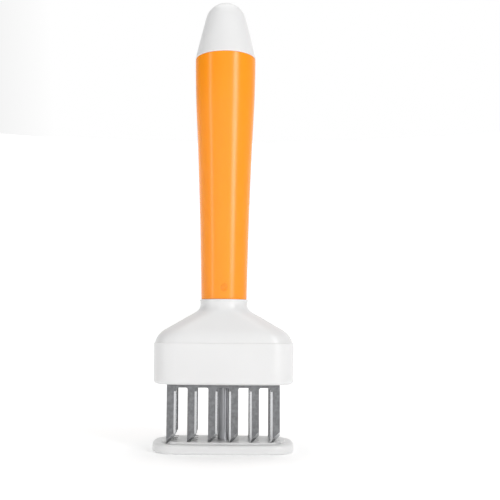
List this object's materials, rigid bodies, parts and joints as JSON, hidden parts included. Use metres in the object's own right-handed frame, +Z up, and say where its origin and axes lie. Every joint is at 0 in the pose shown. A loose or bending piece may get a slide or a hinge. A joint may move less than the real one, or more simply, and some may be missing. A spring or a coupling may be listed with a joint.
{
  "type": "blade meat tenderizer",
  "caption": "Hand-held meat tenderizer: tapered handle with domed cap, oval head with steel blade combs, and a sprung slotted foot plate that covers the blade tips.",
  "frame": {"origin": "centre of the foot plate's underside, on the surface that the tool stands on", "axes": "+Z up the handle to the domed cap, X along the head's long side, Y across it"},
  "size_m": [0.055, 0.03, 0.18],
  "materials": {
    "white_abs": "moulded, satin gloss",
    "orange_grip": "moulded, satin",
    "natural_plastic": "moulded, matt",
    "blade_steel": "rolled strip with ground edges",
    "bright_steel": "drawn wire and turned"
  },
  "bodies": {
    "handle": {"end_cap": "white_abs", "grip_sleeve": "orange_grip", "shoulder_housing": "white_abs", "head_skirt": "white_abs", "spring_tube": "natural_plastic", "spring_seat": "natural_plastic", "guide_bush": "natural_plastic", "return_spring": "bright_steel", "blade_carrier": "natural_plastic", "carrier_screws": "bright_steel", "comb_pin_left": "bright_steel", "comb_pin_right": "bright_steel", "pin_clips": "bright_steel", "comb_spacer_front": "natural_plastic", "comb_spacer_rear": "natural_plastic", "comb_spacer_middle_left": "natural_plastic", "comb_spacer_middle_right": "natural_plastic", "blade_comb_1": "blade_steel", "blade_comb_2": "blade_steel", "blade_comb_3": "blade_steel", "blade_comb_4": "blade_steel"},
    "foot": {"foot_plate": "white_abs", "foot_screw": "bright_steel", "guide_post": "bright_steel", "stop_washer": "bright_steel", "stop_screw": "bright_steel"}
  },
  "joints": [
    {"name": "foot_slide", "type": "slide", "parent": "handle", "child": "foot", "axis": [0, 0, 1], "range_m": [0, 0.02], "stiffness_N_per_m": 250, "springref_m": -0.02, "deforming": ["return_spring"]}
  ]
}
